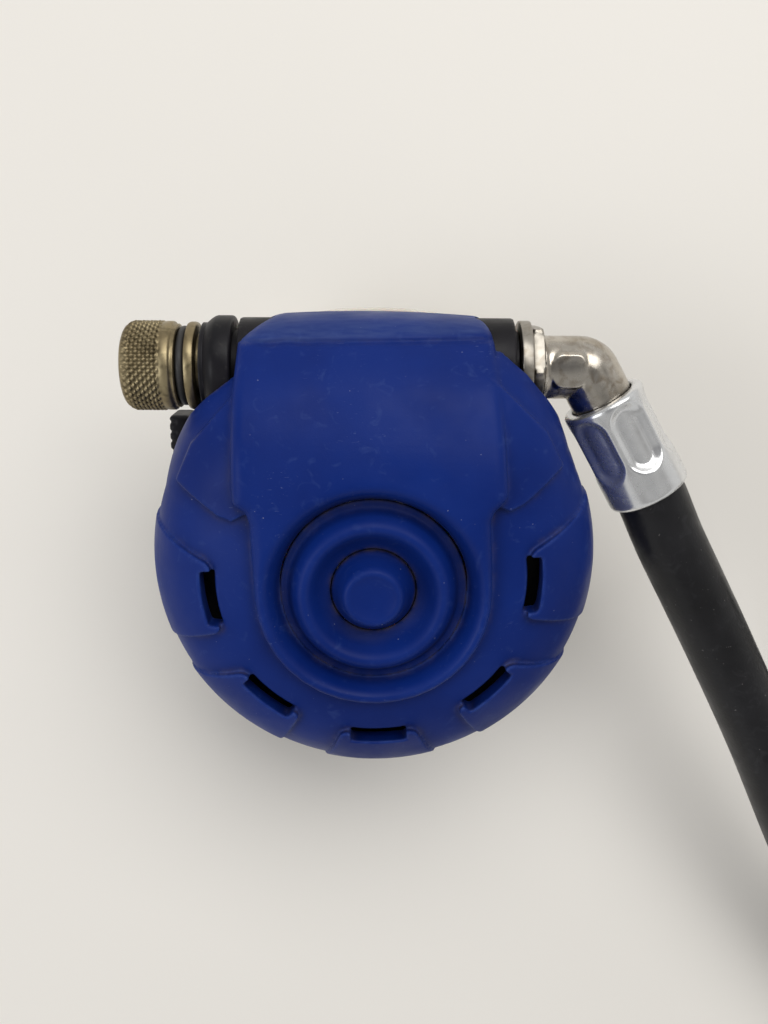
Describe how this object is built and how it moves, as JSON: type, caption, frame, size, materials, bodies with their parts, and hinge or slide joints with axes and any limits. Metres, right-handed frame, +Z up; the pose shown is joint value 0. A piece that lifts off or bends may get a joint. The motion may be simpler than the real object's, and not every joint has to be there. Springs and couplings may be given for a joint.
{
  "type": "scuba regulator second stage",
  "caption": "Scuba demand valve with a domed rubber cover, ringed purge centre, adjusting knob, mouthpiece, elbow inlet and a coiled low-pressure hose.",
  "frame": {"origin": "on the surface it lies on, under the middle of the valve's footprint", "axes": "+X along the valve barrel towards the hose, +Y towards the barrel's side of the case, +Z up"},
  "size_m": [0.2955, 0.195, 0.0702],
  "materials": {
    "cover_rubber": "worn matt",
    "black_plastic": "satin moulded",
    "black_rubber": "smooth",
    "silicone": "translucent matt",
    "knob_brass": "worn knurled plating",
    "brass": "turned",
    "nickel": "satin nickel plate",
    "chrome": "polished",
    "steel": "satin",
    "white_plastic": "moulded"
  },
  "bodies": {
    "housing": {"front_cover": "cover_rubber", "purge_membrane": "cover_rubber", "cover_ring": "black_plastic", "diaphragm": "silicone", "case": "black_plastic", "barrel": "black_plastic", "barrel_collar": "black_plastic", "packing_collar": "knob_brass", "gland_o_ring": "black_rubber", "stem_o_ring": "black_rubber", "valve_spring": "steel", "orifice": "brass", "orifice_o_ring": "black_rubber", "exhaust_tee": "black_rubber", "mouthpiece": "silicone", "mouthpiece_tie": "black_plastic", "inlet_washer": "nickel", "inlet_nut": "nickel"},
    "purge": {"purge_button": "cover_rubber"},
    "diaphragm_centre": {"diaphragm_disc": "steel"},
    "lever": {"demand_lever": "steel"},
    "poppet": {"poppet": "white_plastic", "valve_seat": "black_rubber", "lever_washer": "steel", "lever_nut": "steel"},
    "knob": {"knob": "knob_brass", "adjusting_stem": "brass"},
    "spring_pad": {"spring_pad": "brass"},
    "venturi": {"venturi_lever": "black_plastic", "venturi_vane": "steel", "venturi_screw": "steel"},
    "exhaust_valve": {"exhaust_valve": "silicone"},
    "inlet": {"elbow": "nickel", "elbow_o_ring": "black_rubber", "hose_ferrule": "nickel", "hose": "black_rubber", "hose_coil": "black_rubber", "end_ferrule": "nickel", "end_fitting": "nickel", "end_o_ring": "black_rubber"},
    "hose_nut": {"hose_nut": "chrome"}
  },
  "joints": [
    {"name": "purge_press", "type": "slide", "parent": "housing", "child": "purge", "axis": [0, 0.2756, -0.9613], "range_m": [0, 0.004], "stiffness_N_per_m": 900},
    {"name": "diaphragm_stroke", "type": "slide", "parent": "housing", "child": "diaphragm_centre", "axis": [0, 0.2756, -0.9613], "range_m": [0, 0.004]},
    {"name": "lever_tilt", "type": "hinge", "parent": "housing", "child": "lever", "pos_m": [-0.0176, 0.02496, 0.05727], "axis": [0, 0.9613, 0.2756], "range_deg": [0, 12.2]},
    {"name": "poppet_lift", "type": "slide", "parent": "housing", "child": "poppet", "axis": [-1, 0, 0], "range_m": [0, 0.00075]},
    {"name": "knob_turn", "type": "hinge", "parent": "housing", "child": "knob", "pos_m": [-0.0441, 0.02617, 0.05304], "axis": [1, 0, 0], "range_deg": [-360, 360]},
    {"name": "pad_slide", "type": "slide", "parent": "housing", "child": "spring_pad", "axis": [1, 0, 0], "range_m": [-0.0008, 0.0008]},
    {"name": "venturi_turn", "type": "hinge", "parent": "housing", "child": "venturi", "pos_m": [-0.0276, 0.01219, 0.02562], "axis": [0, -0.2756, 0.9613], "range_deg": [-25, 25]},
    {"name": "exhaust_lift", "type": "slide", "parent": "housing", "child": "exhaust_valve", "axis": [0, 0.2756, -0.9613], "range_m": [0, 0.0012], "stiffness_N_per_m": 60, "springref_m": -0.0006},
    {"name": "inlet_swivel", "type": "hinge", "parent": "housing", "child": "inlet", "pos_m": [0.0239, 0.02617, 0.05304], "axis": [1, 0, 0], "range_deg": [0, 180]},
    {"name": "nut_turn", "type": "hinge", "parent": "inlet", "child": "hose_nut", "pos_m": [0.0384, 0.01285, 0.04922], "axis": [0.5, -0.8325, -0.2387], "continuous": true}
  ],
  "couplings": [
    {"joint": "diaphragm_stroke", "follows": "purge_press", "ratio": 1},
    {"joint": "lever_tilt", "follows": "purge_press", "rad_per_m": 52.9},
    {"joint": "poppet_lift", "follows": "purge_press", "ratio": 0.185},
    {"joint": "pad_slide", "follows": "knob_turn", "m_per_rad": 0.00012732}
  ]
}
